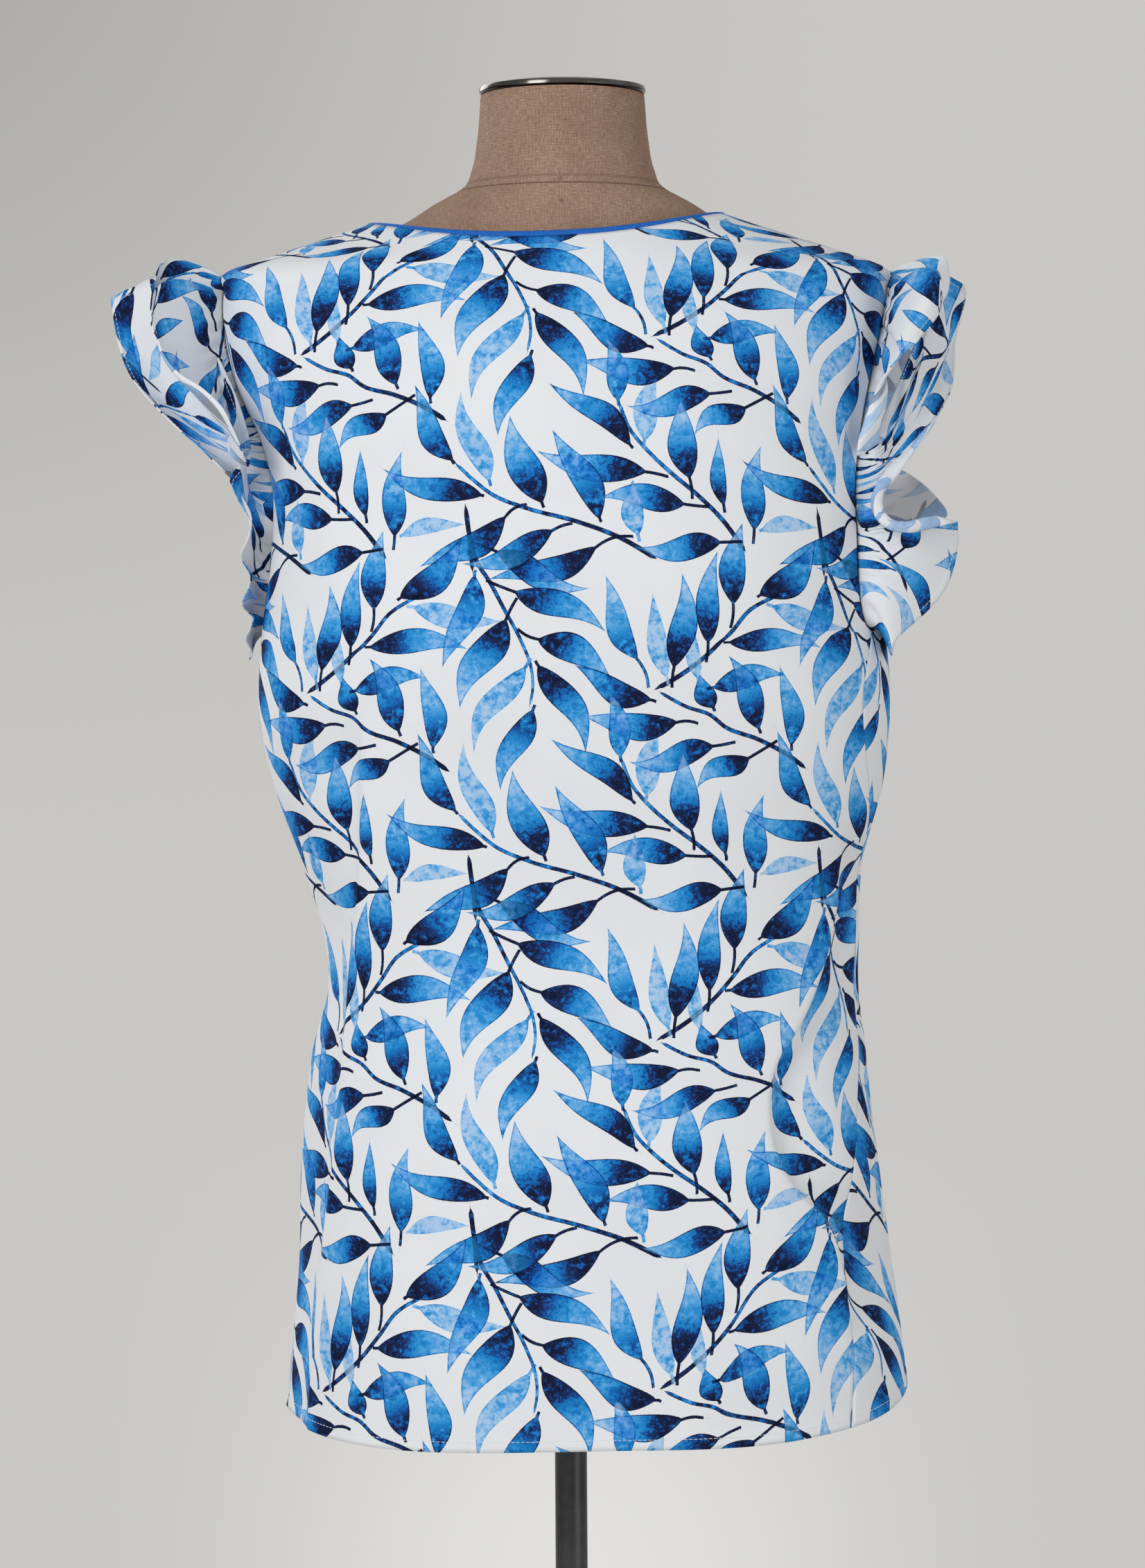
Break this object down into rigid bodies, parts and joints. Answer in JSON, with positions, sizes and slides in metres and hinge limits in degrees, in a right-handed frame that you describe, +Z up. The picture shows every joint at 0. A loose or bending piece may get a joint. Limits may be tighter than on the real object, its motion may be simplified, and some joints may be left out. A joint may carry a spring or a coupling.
{
  "type": "tunic top on dress form",
  "caption": "Sleeveless cloth tunic with a leaf print and gathered armhole ruffles, worn on a limbless dress form with a neck cap, pole and round base.",
  "frame": {"origin": "centre of the round base's flat underside, on the floor", "axes": "+Z up along the pole; the tunic's back faces -Y and its front +Y; +X is to the right when looking at the back"},
  "size_m": [0.5075, 0.38, 1.403],
  "materials": {
    "printed_cloth": "matte plain weave, white with a blue watercolour leaf print",
    "blue_binding": "matte bias strip, royal blue",
    "linen_canvas": "coarse brown linen canvas, matte",
    "dark_chrome": "dark polished chrome",
    "black_steel": "black lacquered steel, satin"
  },
  "bodies": {
    "root": {"back_panel": "printed_cloth", "front_panel": "printed_cloth", "ruffle_left": "printed_cloth", "ruffle_right": "printed_cloth", "neck_binding": "blue_binding", "form_torso": "linen_canvas", "neck_cap": "dark_chrome", "pole": "black_steel", "base": "black_steel"}
  },
  "joints": []
}
